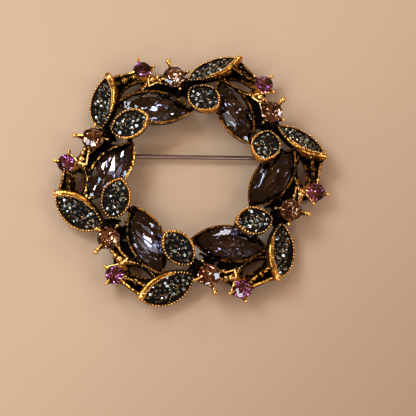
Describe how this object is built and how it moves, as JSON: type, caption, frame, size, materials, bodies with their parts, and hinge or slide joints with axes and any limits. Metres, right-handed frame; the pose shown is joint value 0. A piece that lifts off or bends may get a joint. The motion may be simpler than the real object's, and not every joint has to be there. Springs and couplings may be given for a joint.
{
  "type": "wreath brooch",
  "caption": "Round open wreath brooch of cast leaves, navette and round stones in claw and collet settings, with a hinged pin across the back.",
  "frame": {"origin": "on the wreath's axis, on the surface the brooch lies on, under its hinge lugs and catch", "axes": "+Z from the back of the brooch out through its face, +X along the pin from its hinge to its catch, +Y across the pin"},
  "size_m": [0.0508, 0.0484, 0.0082],
  "materials": {
    "antique_gold": "cast, gold plated, dark antiqued recesses",
    "smoky_glass": "faceted smoky grey-brown crystal",
    "champagne_glass": "faceted brown-rose crystal with a foiled back",
    "amethyst_glass": "faceted purple-pink crystal with a foiled back",
    "dark_pave": "small black-diamond crystals set close together",
    "pin_steel": "drawn wire, lightly tarnished"
  },
  "bodies": {
    "root": {"wreath_frame": "antique_gold", "navette_stone_1": "smoky_glass", "navette_stone_2": "smoky_glass", "navette_stone_3": "smoky_glass", "navette_stone_4": "smoky_glass", "navette_stone_5": "smoky_glass", "navette_stone_6": "smoky_glass", "champagne_stone_1": "champagne_glass", "champagne_stone_2": "champagne_glass", "champagne_stone_3": "champagne_glass", "champagne_stone_4": "champagne_glass", "champagne_stone_5": "champagne_glass", "champagne_stone_6": "champagne_glass", "amethyst_stone_1": "amethyst_glass", "amethyst_stone_2": "amethyst_glass", "amethyst_stone_3": "amethyst_glass", "amethyst_stone_4": "amethyst_glass", "amethyst_stone_5": "amethyst_glass", "amethyst_stone_6": "amethyst_glass", "outer_leaf_pave_1": "dark_pave", "outer_leaf_pave_2": "dark_pave", "outer_leaf_pave_3": "dark_pave", "outer_leaf_pave_4": "dark_pave", "outer_leaf_pave_5": "dark_pave", "outer_leaf_pave_6": "dark_pave", "inner_leaf_pave_1": "dark_pave", "inner_leaf_pave_2": "dark_pave", "inner_leaf_pave_3": "dark_pave", "inner_leaf_pave_4": "dark_pave", "inner_leaf_pave_5": "dark_pave", "inner_leaf_pave_6": "dark_pave", "hinge_rivet": "antique_gold"},
    "pin": {"pin_stem": "pin_steel"}
  },
  "joints": [
    {"name": "pin_hinge", "type": "hinge", "parent": "root", "child": "pin", "pos_m": [-0.0146, 0.0046, 0.0013], "axis": [0, 1, 0], "range_deg": [0, 90]}
  ]
}
